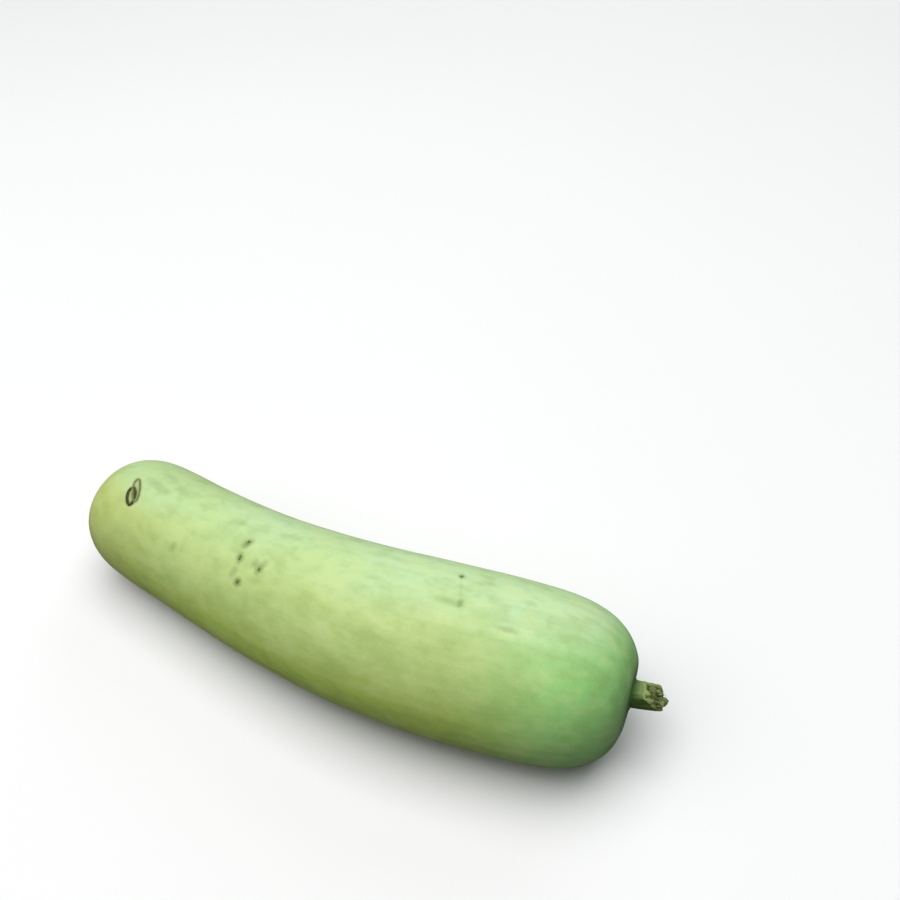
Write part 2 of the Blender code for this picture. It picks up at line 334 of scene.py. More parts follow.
# Dry tissue: size and stretch of its grain, and the grain's contrast on cork and on torn fibre
DRY_GRAIN = (0.0008, 1.5)
CORK_CONTRAST = 1.8
FIBRE_CONTRAST = 1.6
SECOND_TONE = (0.3, 0.9)
SECOND_TONE_STRENGTH = 0.6
DRY_DEPTH = 0.0001

# Where the soft lights hang, the setting that holds each one's power, and its colour
WHITE = (1.0, 1.0, 1.0)
LIGHTS = (
    ("light_above", (0.0, 0.0, 2.6), "light_power", WHITE),
    ("light_behind", (0.0, 2.4, 1.4), "rim_power", (0.9, 1.0, 1.0)),
    ("light_in_front", (-1.2, -1.0, 2.0), "fill_power", WHITE),
)
LIGHT_SIZE = 2.4
SENSOR_WIDTH = 36.0
BLACK = (0.0, 0.0, 0.0, 1.0)
# Floor: size of its faint clouds, how bright they are, and the share of it that lights the gourd from below
FLOOR_CLOUD = 0.4
FLOOR_SHADE = 0.97
FLOOR_BOUNCE = 0.22
# Distances from the middle of the floor over which it turns into the backdrop
BACKDROP_SPAN = (0.9, 2.2)


def paint(red, green, blue):
    """A colour given as 0 to 255 on a screen, in the linear numbers that materials use."""
    linear = []
    for part in (red, green, blue):
        share = part / 255
        linear.append(share / 12.92 if share <= 0.04045 else ((share + 0.055) / 1.055) ** 2.4)
    return tuple(linear) + (1.0,)


def a_number(name, description, default):
    return FloatProperty(name=name, description=description, default=default)


def a_length(name, description, default):
    return FloatProperty(name=name, description=description, default=default, unit="LENGTH")


def an_angle(name, description, degrees):
    return FloatProperty(name=name, description=description, default=math.radians(degrees), unit="ROTATION")


def a_place(name, description, default):
    return FloatVectorProperty(name=name, description=description, subtype="TRANSLATION", unit="LENGTH",
                               default=default)


def a_colour(name, description, red, green, blue):
    return FloatVectorProperty(name=name, description=description, subtype="COLOR", size=4, min=0, max=1,
                               default=paint(red, green, blue))


class GourdForm(bpy.types.PropertyGroup):
    """Sizes of the fruit."""

    body_length: a_length("Body Length", "Length along the middle line, from the blossom tip to the stem",
                          0.3358)
    blossom_radius: a_length("Blossom Radius", "Radius of the body at the blossom end", 0.0383)
    waist_radius: a_length("Waist Radius", "Radius a third of the way along", 0.0394)
    belly_radius: a_length("Belly Radius", "Radius two thirds of the way along", 0.0455)
    shoulder_radius: a_length("Shoulder Radius", "Radius of the body at the stem end", 0.0408)
    blossom_cap: a_length("Blossom Cap", "Length of the rounded blossom end", 0.0676)
    blossom_fullness: a_number("Blossom Fullness", "Fullness of the blossom end where it meets the body",
                               4.29)
    blossom_bluntness: a_number("Blossom Bluntness", "Bluntness of the blossom tip", 2.2)
    stem_cap: a_length("Stem Cap", "Length of the rounded stem end", 0.0539)
    stem_fullness: a_number("Stem Fullness", "Fullness of the stem end where it meets the body", 3.17)
    stem_bluntness: a_number("Stem Bluntness", "Bluntness of the stem end", 3.17)
    resting_flat: a_length("Resting Flat", "How far the underside is pressed flat", 0.0005)
    blossom_heading: an_angle("Blossom Heading", "Direction of the middle line at the blossom end", -8.1)
    stem_heading: an_angle("Stem Heading", "Direction of the middle line at the stem end", 10.8)
    turn_from: a_number("Turn From", "Share of the length where the bend begins", 0.22)
    turn_to: a_number("Turn To", "Share of the length where the bend ends", 0.92)
    lean_from: a_number("Lean From", "Share of the length where the stem end begins to lean", 0.8)
    lean_across: a_number("Lean Across", "Slope of the stem end's face from side to side", 0.085)
    lean_up: a_number("Lean Up", "Slope of the stem end's face upwards", -0.025)
    hollow_depth: a_length("Hollow Depth", "Depth of the hollow round the stem", 0.0015)
    hollow_radius: a_length("Hollow Radius", "Radius of the hollow round the stem", 0.018)
    collar_height: a_length("Collar Height", "How far the skin climbs up the stem", 0.0014)
    stem_side: a_length("Stem Side", "How far the stem stands to the far side", 0.0014)
    stem_rise: a_length("Stem Rise", "How far the stem stands above the middle", 0.0038)
    swell_height: a_length("Swell Height", "Height of the broad bulges of the body", 0.0005)
    stem_root: a_length("Stem Root", "Radius of the stem at its root", 0.0076)
    stem_radius: a_length("Stem Radius", "Radius of the stem above its flared root", 0.0069)
    stem_tip: a_length("Stem Tip", "Radius of the stem at its cut end", 0.0067)
    stem_length: a_length("Stem Length", "Height of the cut above the fruit's end", 0.0118)
    stem_flare: a_length("Stem Flare", "Length of the stem's flared root", 0.005)
    stem_sunk: a_length("Stem Sunk", "How deep the stem's root sits in the fruit", 0.006)
    cut_slope: a_number("Cut Slope", "Slope of the slanted cut", math.tan(math.radians(45)))
    seed: IntProperty(name="Seed", description="Start of every random choice", default=7)


class GourdColours(bpy.types.PropertyGroup):
    """Colours of the skin, the stem and the stage."""

    skin: a_colour("Skin", "Main pale green of the skin", 183, 206, 127)
    # Partly the waxy bloom's whitish mint, partly painted highlight on the upper side
    bloom_and_highlight: a_colour("Bloom", "Whitish mint of the waxy upper side", 190, 220, 168)
    # Partly the skin's own yellow olive, partly painted shade on the lower sides
    flank: a_colour("Flank", "Yellow olive of the lower sides", 180, 206, 86)
    blossom_end: a_colour("Blossom End", "Tan tint of the blossom end", 203, 209, 122)
    stem_end: a_colour("Stem End", "Cool green of the stem end", 148, 213, 128)
    pale: a_colour("Pale", "Pale yellow green of the mottling", 206, 224, 152)
    shade: a_colour("Shade", "Darker grey green of the mottling", 146, 174, 92)
    # Rim is mostly painted shade: the dark green round the stem, on the stem end's face and at the stem's
    # foot, partly the skin's own darker green round the stem
    rim: a_colour("Rim", "Dark green of the skin round the stem", 62, 98, 42)
    scar_tissue: a_colour("Scar Tissue", "Tan olive inside the healed scar", 158, 166, 108)
    scar_halo: a_colour("Scar Halo", "Pale skin beside the scar's lines", 212, 222, 160)
    scar_line: a_colour("Scar Line", "Dark olive along the scar's lines", 84, 88, 40)
    stain: a_colour("Stain", "Grey green of stains in the skin", 98, 118, 50)
    cork: a_colour("Cork", "Dark brown of corky marks", 54, 56, 22)
    pale_cork: a_colour("Pale Cork", "Grey olive of the scar's thin ring", 118, 130, 82)
    speck: a_colour("Speck", "Brown olive of the corky specks", 106, 118, 60)
    blossom_cork: a_colour("Blossom Cork", "Dry brown of the scar at the blossom tip", 142, 122, 82)
    stem: a_colour("Stem", "Olive green of the stem", 68, 100, 18)
    fibre: a_colour("Fibre", "Pale grey green of the cut fibres", 158, 180, 112)
    dry_cut: a_colour("Dry Cut", "Olive brown of the dried cut", 88, 86, 32)
    floor: a_colour("Floor", "Pale floor", 240, 240, 240)


class GourdStage(bpy.types.PropertyGroup):
    """The camera and the studio light."""

    target: a_place("Target", "Point on the floor in the middle of the picture", (-0.0237, 0.17614, 0.0))
    azimuth: an_angle("Azimuth", "Turn of the camera round the gourd", 25.84)
    elevation: an_angle("Elevation", "Height of the camera above the horizon", 44)
    distance: a_length("Distance", "From the camera to the target", 0.6997)
    lens: a_number("Lens", "Focal length of the camera in millimetres", 40.0)
    light_power: a_number("Light Power", "Power of the soft light above, in watts", 66.0)
    rim_power: a_number("Rim Power", "Power of the low soft light behind, in watts", 18.0)
    fill_power: a_number("Fill Power", "Power of the soft light at the front left, in watts", 27.0)
    sky_strength: a_number("Sky Strength", "Strength of the light from all round", 0.04)
    backdrop_strength: a_number("Backdrop Strength", "Brightness of the backdrop seen above the floor", 0.96)
    line_start: a_place("Line Start", "Where the gourd's middle line starts, worked out from the frame",
                        (0.0, 0.0, 0.0))
    floor_size: a_length("Floor Size", "Side of the floor", 12.0)


def arithmetic(operation, swapped=False):
    """A method that adds the Math node of an arithmetic sign."""
    def apply(self, other):
        return work_out(self.tree, operation, *((other, self) if swapped else (self, other)))
    return apply


class Formula:
    """A value in a node tree: arithmetic on it adds the Math nodes that work it out."""

    def __init__(self, tree, socket):
        self.tree = tree
        self.socket = socket

    __add__ = arithmetic("ADD")
    __radd__ = arithmetic("ADD", swapped=True)
    __sub__ = arithmetic("SUBTRACT")
    __rsub__ = arithmetic("SUBTRACT", swapped=True)
    __mul__ = arithmetic("MULTIPLY")
    __rmul__ = arithmetic("MULTIPLY", swapped=True)
    __truediv__ = arithmetic("DIVIDE")
    __rtruediv__ = arithmetic("DIVIDE", swapped=True)
    __pow__ = arithmetic("POWER")


def find_socket(sockets, name):
    """The socket with an identifier, or else with a name."""
    by_identifier = {socket.identifier: socket for socket in sockets}
    return by_identifier[name] if name in by_identifier else sockets[name]


def fill(socket, value):
    """Link a formula to a socket, or give the socket a plain value."""
    if isinstance(value, Formula):
        value.tree.links.new(value.socket, socket)
    else:
        socket.default_value = value


def fill_all(node, values):
    """Fill a node's inputs by their names."""
    for name, value in values.items():
        fill(find_socket(node.inputs, name), value)


def add_node(tree, kind, inputs=None, **settings):
    """A new node with its settings made and its inputs filled."""
    node = tree.nodes.new(kind)
    for name, value in settings.items():
        setattr(node, name, value)
    fill_all(node, inputs or {})
    return node


def output(node, name):
    """An output of a node as a formula."""
    return Formula(node.id_data, find_socket(node.outputs, name))


def result_of(tree, kind, name, inputs=None, **settings):
    """An output of a new node as a formula."""
    return output(add_node(tree, kind, inputs, **settings), name)


def work_out(tree, operation, *values):
    """The result of a Math node."""
    node = add_node(tree, "ShaderNodeMath", operation=operation)
    for socket, value in zip(node.inputs, values):
        fill(socket, value)
    return Formula(tree, node.outputs[0])


def function_of(operation):
    """A function of one or two formulas that adds a Math node."""
    def apply(x, *others):
        return work_out(x.tree, operation, x, *others)
    return apply


sine = function_of("SINE")
cosine = function_of("COSINE")
exponential = function_of("EXPONENT")
root = function_of("SQRT")
larger = function_of("MAXIMUM")
smaller = function_of("MINIMUM")
is_beyond = function_of("GREATER_THAN")
# Angle of a point, given how far up and how far across it is, from the across axis towards the up axis
direction = function_of("ARCTAN2")


def clamp(x, low=0.0, high=1.0):
    """A value kept between two others."""
    return smaller(larger(x, low), high)


def distance(a, b):
    """Length of the diagonal of two sides."""
    return root(a * a + b * b)


def sides(radius, angle):
    """How far across and how far up a point is, from its radius and angle."""
    return radius * cosine(angle), radius * sine(angle)


def ease(x, start, end):
    """Rise smoothly from 0 at start to 1 at end."""
    return result_of(x.tree, "ShaderNodeMapRange", "Result", {"Value": x, "From Min": start, "From Max": end},
                     interpolation_type="SMOOTHSTEP")


def join_axes(x, y, z):
    """A vector from its three numbers."""
    tree = next(part.tree for part in (x, y, z) if isinstance(part, Formula))
    return result_of(tree, "ShaderNodeCombineXYZ", "Vector", {"X": x, "Y": y, "Z": z})


def split_axes(vector):
    """The three numbers of a vector."""
    node = add_node(vector.tree, "ShaderNodeSeparateXYZ", {"Vector": vector})
    return [output(node, axis) for axis in "XYZ"]


def noise(vector, size, detail=3.0, roughness=0.5):
    """Soft random blotches of a given size, from 0 to 1."""
    return result_of(vector.tree, "ShaderNodeTexNoise", "Fac", {
        "Vector": vector, "Scale": 1.0 / size, "Detail": detail, "Roughness": roughness})


def key_of(name):
    """The name of a socket as a word for code."""
    return name.lower().replace(" ", "_")


def start_tree(kind, name, inputs, made):
    """A new node tree that makes one thing, its named inputs as formulas, and its output node."""
    tree = bpy.data.node_groups.new(name, kind)

    def add_socket(label, side):
        holds = SOCKET_KINDS.get(label, "NodeSocketFloat")
        return tree.interface.new_socket(name=label, in_out=side, socket_type=holds)

    add_socket(made, "OUTPUT")
    for label, default in inputs.items():
        socket = add_socket(label, "INPUT")
        if default is not None:
            socket.default_value = default
    source = tree.nodes.new("NodeGroupInput")
    given = SimpleNamespace(**{key_of(label): output(source, label) for label in inputs})
    return tree, given, tree.nodes.new("NodeGroupOutput")


def end_tree(result, made):
    """Link what a tree makes to its output node."""
    fill(result.inputs[0], made)
    arrange(made.tree)
    return made.tree


def use_group(tree, group, given=None, **values):
    """Place a node group, and fill its inputs with the values or the tree's inputs of the same name."""
    kind = "GeometryNodeGroup" if tree.bl_idname == "GeometryNodeTree" else "ShaderNodeGroup"
    node = add_node(tree, kind, node_tree=group)
    known = {**vars(given), **values} if given else values
    for socket in node.inputs:
        if key_of(socket.name) in known:
            fill(socket, known[key_of(socket.name)])
    return node


def arrange(tree):
    """Set the nodes out in columns, each to the right of those that it reads."""
    columns = {}

    def column(node):
        if node.name not in columns:
            columns[node.name] = 0
            sources = [link.from_node for socket in node.inputs for link in socket.links]
            columns[node.name] = 1 + max((column(source) for source in sources), default=-1)
        return columns[node.name]

    filled = {}
    for node in tree.nodes:
        place = column(node)
        row = filled.get(place, 0)
        node.location = (place * NODE_COLUMN, -row * NODE_ROW)
        filled[place] = row + 1


def form_inputs():
    """The gourd's sizes by their names, as every geometry tree takes them."""
    form = bpy.context.scene.gourd_form
    sizes = form.bl_rna.properties.items()
    return {size.name: getattr(form, key) for key, size in sizes if size.type in NUMBER_TYPES}


def girth_radius(form, s):
    """Radius of the body at a length s from the blossom tip, without its rounded ends."""
    u = s / form.body_length
    values = (form.blossom_radius, form.waist_radius, form.belly_radius, form.shoulder_radius)
    knots = [i / 3 for i in range(4)]
    total = 0.0
    for i, value in enumerate(values):
        for j, knot in enumerate(knots):
            if j != i:
                value = value * (u - knot) / (knots[i] - knot)
        total = value + total
    return total


def end_share(inset, length, fullness, bluntness):
    """Share of the full radius at a distance in from a rounded end's tip."""
    return larger(1.0 - (1.0 - clamp(inset / length)) ** fullness, 0.0) ** (1.0 / bluntness)


def skin_radius(form, from_blossom, from_stem):
    """Radius of the fruit with its rounded ends, at distances from its two tips."""
    share = end_share(from_blossom, form.blossom_cap, form.blossom_fullness, form.blossom_bluntness)
    share = share * end_share(from_stem, form.stem_cap, form.stem_fullness, form.stem_bluntness)
    return girth_radius(form, from_blossom) * share


def skin_swell(form, s, angle):
    """Broad bulges and dips of the body, fading out at its ends and under it."""
    u = s / form.body_length
    lobes = cosine(SWELL_LOBES * angle + SWELL_TURN * u)
    waves = sine(WAVE_COUNT * u + WAVE_START) * cosine(angle - WAVE_SIDE)
    fade = sine(math.pi * clamp(u)) * ease(sine(angle), -SWELL_FADE, 0.0)
    return form.swell_height * (lobes + waves) * fade


def skin_at(form, s, angle):
    """Radius of the swollen fruit at a place."""
    return skin_radius(form, s, form.body_length - s) + skin_swell(form, s, angle)


def scar_place(s, angle, radius):
    """Distances along and across the scar from its middle, for places on the skin."""
    lengthwise = s - SCAR_PLACE
    round_girth = (angle - SCAR_ANGLE) * radius
    along = lengthwise * math.cos(SCAR_TILT) + round_girth * math.sin(SCAR_TILT)
    across = lengthwise * math.sin(SCAR_TILT) - round_girth * math.cos(SCAR_TILT)
    return along, across


def scar_reach(along, across, ring):
    """How far out from a ring's middle a place is, as a share of the ring, and its distance from the line."""
    mid_along, mid_across, half_length, half_width, lean = ring[:5]
    lengthwise = (along - mid_along) / half_length
    sideways = (across - mid_across - lean * (along - mid_along)) / half_width
    reach = larger(distance(lengthwise, sideways), 0.001)
    steepness = distance(lengthwise / half_length, sideways / half_width) / reach
    return reach, (reach - 1.0) / larger(steepness, 1.0 / half_length)


def bell(off, width):
    """1 on a line, falling to 0 beside it."""
    return exponential(-1.0 * (off / width) * (off / width))


def even_steps(part):
    """Shares from 0 to 1 that start and end in small steps, so that a blunt end is well divided."""
    return part - sine(math.tau * part) / math.tau


def point_numbers(tree, count):
    """Share of the way along a row of points, and the share still to go."""
    number = result_of(tree, "GeometryNodeInputIndex", "Index")
    return number / (count - 1), (count - 1 - number) / (count - 1)


def position_in(tree):
    """Position of each point."""
    return result_of(tree, "GeometryNodeInputPosition", "Position")


def named_attribute(tree, name, data_type):
    """A stored attribute of each point."""
    return result_of(tree, "GeometryNodeInputNamedAttribute", "Attribute", {"Name": name},
                     data_type=data_type)


def store(geometry, name, value, data_type):
    """Geometry with a value stored on each point."""
    return result_of(geometry.tree, "GeometryNodeStoreNamedAttribute", "Geometry", {
        "Geometry": geometry, "Name": name, "Value": value}, data_type=data_type)


def store_unbent(geometry, along, across, up):
    """Keep each point's place on the straight gourd for the materials."""
    return store(geometry, UNBENT, join_axes(along, across, up), "FLOAT_VECTOR")


def set_position(geometry, position):
    """Geometry moved to a position."""
    return result_of(geometry.tree, "GeometryNodeSetPosition", "Geometry", {
        "Geometry": geometry, "Position": position})


def bend(geometry, group, given, **place):
    """Geometry moved to where a bending group puts its places."""
    return set_position(geometry, output(use_group(geometry.tree, group, given, **place), "Position"))


def raise_surface(geometry, height):
    """Geometry moved outwards along its own normals."""
    normal = result_of(geometry.tree, "GeometryNodeInputNormal", "Normal")
    offset = result_of(geometry.tree, "ShaderNodeVectorMath", "Vector", {"Vector": normal, "Scale": height},
                       operation="SCALE")
    return result_of(geometry.tree, "GeometryNodeSetPosition", "Geometry", {
        "Geometry": geometry, "Offset": offset})


def row_of_points(tree, count):
    """Points in a row, all at one place until they are moved."""
    return result_of(tree, "GeometryNodeMeshLine", "Mesh", {"Count": count, "Offset": (0.0, 0.0, 0.0)})


def curve_through(position, count):
    """A curve through a row of points at given positions."""
    row = set_position(row_of_points(position.tree, count), position)
    return result_of(position.tree, "GeometryNodeMeshToCurve", "Curve", {"Mesh": row})


def outline_curve(radius, height, count):
    """A curve through a row of points with a radius and a height each."""
    return curve_through(join_axes(radius, 0.0, height), count)


def turned_ball(outline, around, rings, fine_side=0.0, finer=0.0):
    """A ball's mesh, and the radius, height and angle of each point once it follows an outline."""
    tree = outline.tree
    ball = result_of(tree, "GeometryNodeMeshUVSphere", "Mesh", {
        "Segments": around, "Rings": rings, "Radius": 1.0})
    x, y, z = split_axes(position_in(tree))
    turn = direction(y, x)
    angle = turn - finer * sine(turn - fine_side)
    part = direction(distance(x, y), z) / math.pi
    followed = result_of(tree, "GeometryNodeSampleCurve", "Position", {
        "Curves": outline, "Factor": 1.0 - part}, mode="FACTOR")
    radius, _, height = split_axes(followed)
    return ball, radius, height, angle


def scatter(points, shape, turn, scale):
    """Copies of a shape on points, each turned and scaled, as plain geometry."""
    tree = points.tree
    placed = result_of(tree, "GeometryNodeInstanceOnPoints", "Instances", {
        "Points": points, "Instance": shape, "Scale": scale,
        "Rotation": result_of(tree, "FunctionNodeEulerToRotation", "Rotation", {"Euler": turn})})
    return result_of(tree, "GeometryNodeRealizeInstances", "Geometry", {"Geometry": placed})


def start_bend_tree(name, *axes):
    """A geometry tree that works out a position from a place on the straight gourd."""
    inputs = {**dict.fromkeys(axes, 0.0), **form_inputs()}
    return start_tree("GeometryNodeTree", name, inputs, "Position")


def lay_down_group():
    """Node group: bends a place on the straight gourd along its middle line and lays it down."""
    tree, form, result = start_bend_tree("Lay Down", "Across", "Up", "Along")
    across, up, s = form.across, form.up, form.along

    def heading(place):
        turned = ease(place / form.body_length, form.turn_from, form.turn_to)
        return form.blossom_heading + (form.stem_heading - form.blossom_heading) * turned

    step = form.body_length / (LINE_POINTS - 1)
    share, _ = point_numbers(tree, LINE_POINTS)
    turned = heading(share * form.body_length + step / 2)
    x, y = [result_of(tree, "GeometryNodeAccumulateField", "Trailing", {"Value": part})
            for part in (cosine(turned) * step, sine(turned) * step)]
    line = curve_through(join_axes(x, y, 0.0), LINE_POINTS)

    lean = ease(s / form.body_length, form.lean_from, 1.0)
    s = s + lean * (form.lean_across * across + form.lean_up * up)
    inside = clamp(s, 0.0, form.body_length)
    beyond = s - inside
    x, y, _ = split_axes(result_of(
        tree, "GeometryNodeSampleCurve", "Position", {"Curves": line, "Length": inside}, mode="LENGTH"))
    turned = heading(inside)
    x = x + cosine(turned) * beyond - sine(turned) * across
    y = y + sine(turned) * beyond + cosine(turned) * across
    z = girth_radius(form, inside) - form.resting_flat + up
    return end_tree(result, join_axes(x, y, larger(z, 0.0)))


def bend_stem_group(lay_down):
    """Node group: slants, bends and lays down a place on the straight stem."""
    tree, form, result = start_bend_tree("Bend Stem", "Across", "Up", "Height")
    slant = ease(form.height, CUT_FROM, form.stem_length)
    slanted = form.height - form.cut_slope * form.up * slant
    clear = larger(slanted + form.hollow_depth, 0.0)
    bent = clear * clear / (clear + form.stem_flare / 2)
    laid = use_group(tree, lay_down, form, across=form.across + form.stem_side + STEM_TURN * bent,
                     up=form.up + form.stem_rise + STEM_LIFT * bent, along=form.body_length + slanted)
    return end_tree(result, output(laid, "Position"))


def start_piece_tree(name, extra=None):
    """A geometry tree for a piece, with the gourd's sizes and a material as its inputs."""
    inputs = {"Geometry": None, "Material": None, **form_inputs(), **(extra or {})}
    return start_tree("GeometryNodeTree", name, inputs, "Geometry")


def finish_tree(result, geometry, form):
    """End a piece's tree with plain geometry that carries its material."""
    tree = geometry.tree
    smooth = result_of(tree, "GeometryNodeSetShadeSmooth", "Geometry", {"Geometry": geometry})
    real = result_of(tree, "GeometryNodeRealizeInstances", "Geometry", {"Geometry": smooth})
    dressed = {"Geometry": real, "Material": form.material}
    return end_tree(result, result_of(tree, "GeometryNodeSetMaterial", "Geometry", dressed))


def bumps(vector, height, size, detail):
    """Random bumps and dips of a height and size."""
    return height * (noise(vector, size, detail) - 0.5)


def fruit_tree(lay_down):
    """Geometry tree of the fruit: its outline turned round, swollen, laid down and given relief."""
    tree, form, result = start_piece_tree("Gourd Fruit")
    done, to_go = point_numbers(tree, OUTLINE_POINTS)
    from_blossom = even_steps(done) * form.body_length
    from_stem = even_steps(to_go) * form.body_length
    radius = skin_radius(form, from_blossom, from_stem)
    hollow = form.hollow_depth * (1.0 - ease(radius, form.stem_root, form.hollow_radius))
    collar = form.collar_height * (1.0 - ease(radius, form.stem_root, COLLAR_REACH * form.stem_root))
    outline = outline_curve(radius, from_blossom + is_beyond(done, 0.5) * (collar - hollow), OUTLINE_POINTS)

    mesh, radius, s, angle = turned_ball(outline, FRUIT_AROUND, FRUIT_RINGS, FINE_SIDE, FINER)
    at_stem = is_beyond(s, form.body_length / 2)
    outside = 1.0 - at_stem * (1.0 - ease(radius, HOLLOW_RIM * form.hollow_radius, form.hollow_radius))
    across, up = sides(radius + skin_swell(form, s, angle) * outside, angle)
    mesh = store_unbent(mesh, s, across, up)
    near_stem = at_stem * (1.0 - ease(radius, form.stem_root, SHIFT_REACH * form.stem_root))
    mesh = bend(mesh, lay_down, form, across=across + form.stem_side * near_stem,
                up=up + form.stem_rise * near_stem, along=s)

    place = named_attribute(tree, UNBENT, "FLOAT_VECTOR")
    s, across, up = split_axes(place)
    radius = distance(across, up)
    angle = direction(up, across)
    relief = bumps(join_axes(s / RIB_STRETCH, across, up), *RIBS)
    relief = relief + bumps(place, *DENTS)
    relief = relief + bumps(place, *PEEL)
    along, beside = scar_place(s, angle, radius)
    for ring in SCAR_RINGS:
        relief = relief + SCAR_HEIGHT * bell(scar_reach(along, beside, ring)[1], SCAR_LINE)
    at_stem = is_beyond(s, form.body_length / 2)
    folds = cosine(STEM_RIDGES * angle + RIDGE_START)
    folds = folds * (1.0 - ease(radius, form.stem_root, FOLD_REACH * form.stem_root))
    relief = relief + FOLD_HEIGHT * folds * at_stem
    _, _, z = split_axes(position_in(tree))
    return finish_tree(result, raise_surface(mesh, relief * ease(z, 0.0, RELIEF_FADE)), form)


def bundle_cells(across, up):
    """Bundles of fibre on the cut: 1 in the gaps between them, and how far each place is above its middle."""
    cell = {"Vector": join_axes(across, up / BUNDLE_STRETCH, 0.0), "Scale": 1.0 / BUNDLE_SIZE,
            "Randomness": BUNDLE_UNEVEN}
    _, middle, _ = split_axes(result_of(across.tree, "ShaderNodeTexVoronoi", "Position", cell))
    edge = result_of(across.tree, "ShaderNodeTexVoronoi", "Distance", cell, feature="DISTANCE_TO_EDGE")
    return ease(edge, *GAP_EDGE), up - middle * BUNDLE_STRETCH


def stem_tree(bend_stem):
    """Geometry tree of the stem: turned, ridged, slit and frayed at the cut, bent and laid down."""
    tree, form, result = start_piece_tree("Gourd Stem")
    done, to_go = point_numbers(tree, OUTLINE_POINTS)
    whole = form.stem_length + form.stem_sunk
    height = even_steps(done) * whole - form.stem_sunk
    taper = clamp(height / form.stem_length)
    flare = clamp(1.0 - (height + form.hollow_depth) / form.stem_flare)
    side = form.stem_radius + (form.stem_tip - form.stem_radius) * taper
    side = side + (form.stem_root - form.stem_radius) * flare * flare
    radius = side * end_share(even_steps(to_go) * whole, CUT_EDGE, *CUT_ROUNDING)
    radius = radius * end_share(even_steps(done) * whole, CUT_EDGE, *ROOT_ROUNDING)
    near_cut = is_beyond(height, form.stem_length / 2)
    pit = PIT_DEPTH * (1.0 - ease(radius / form.stem_tip, 0.0, PIT_REACH)) * near_cut
    outline = outline_curve(radius, height - pit, OUTLINE_POINTS)

    mesh, radius, height, angle = turned_ball(outline, STEM_AROUND, STEM_RINGS)
    across, up = sides(radius, angle)
    mesh = store_unbent(mesh, height, across, up)
    free = ease(height + form.hollow_depth, 0.0, form.stem_flare)
    to_tip = ease(height, 0.0, form.stem_length)
    depth = (RIDGE_DEPTH + (TIP_RIDGE_DEPTH - RIDGE_DEPTH) * to_tip) * free
    drawn_out = join_axes(height / GRAIN_STRETCH, across, up)
    ridged = 1.0 + depth * cosine(STEM_RIDGES * angle + RIDGE_START)
    wander = FURROW_WANDER * noise(drawn_out, FURROW_SIZE)
    ridged = ridged + FURROW_DEPTH * free * cosine(FURROWS * angle + wander)
    ridged = ridged + ROUGH_DEPTH * free * (noise(drawn_out, ROUGH_SIZE) - 0.5)

    at_cut = ease(height, form.stem_length - FRAY_REACH, form.stem_length)
    share = smaller(radius / form.stem_radius, 1.0)
    gap, above = bundle_cells(across, up)
    fray = 0.0
    for count, start, part in FRAY_WAVES:
        fray = part * cosine(count * angle + start) + fray
    torn = noise(join_axes(across, up, 0.0), TEAR_SIZE, 3.0, 0.7) - 0.5
    height = height + at_cut * (FRAY_HEIGHT * sine(math.pi * share) * fray + TEAR_HEIGHT * torn)
    height = height + at_cut * (BUNDLE_STEP * above - GAP_DEPTH * gap * ease(share, *BUNDLE_EDGE))
    across, up = sides(radius * ridged, angle)
    return finish_tree(result, bend(mesh, bend_stem, form, across=across, up=up, height=height), form)


def scar_lip_tree(lay_down):
    """Geometry tree of one ring of the scar: a thin corky lip that follows the skin."""
    tree, form, result = start_piece_tree("Scar Lip", dict.fromkeys(LIP_SIZES, LIP_DEFAULT))

    def circle(points, radius):
        return result_of(tree, "GeometryNodeCurvePrimitiveCircle", "Curve", {
            "Resolution": points, "Radius": radius})

    x, y, _ = split_axes(position_in(tree))
    varied = join_axes(x, y, form.mid_along * LIP_VARIETY)
    wobble = 1.0 + LIP_WOBBLE * (noise(varied, LIP_WOBBLE_SIZE) - 0.5)
    from_middle = form.half_length * x * wobble
    along = form.mid_along + from_middle
    beside = form.mid_across + form.lean * from_middle + form.half_width * y * wobble
    s = SCAR_PLACE + along * math.cos(SCAR_TILT) + beside * math.sin(SCAR_TILT)
    round_girth = along * math.sin(SCAR_TILT) - beside * math.cos(SCAR_TILT)
    radius = skin_radius(form, s, form.body_length - s)
    angle = SCAR_ANGLE + round_girth / radius
    across, up = sides(radius + skin_swell(form, s, angle), angle)
    path = set_position(circle(LIP_POINTS, 1.0), join_axes(across, up, s))
    thick = LIP_THINNEST + LIP_SPREAD * noise(position_in(tree), LIP_CLUMP, 3.0, 0.7)
    mesh = result_of(tree, "GeometryNodeCurveToMesh", "Mesh", {
        "Curve": path, "Profile Curve": circle(LIP_SIDES, form.lip_radius), "Scale": thick})

    position = position_in(tree)
    across, up, s = split_axes(position)
    mesh = store_unbent(mesh, s, across, up)
    angle = direction(up, across)
    skin = skin_at(form, s, angle)
    crust = LIP_CRUST * (noise(position, CORK_GRAIN, 3.0, 0.65) - 0.5)
    radius = skin + LIP_PROUD * (distance(across, up) - skin) + crust + SCAR_HEIGHT * LIP_SEAT
    across, up = sides(radius, angle)
    return finish_tree(result, bend(mesh, lay_down, form, across=across, up=up, along=s), form)


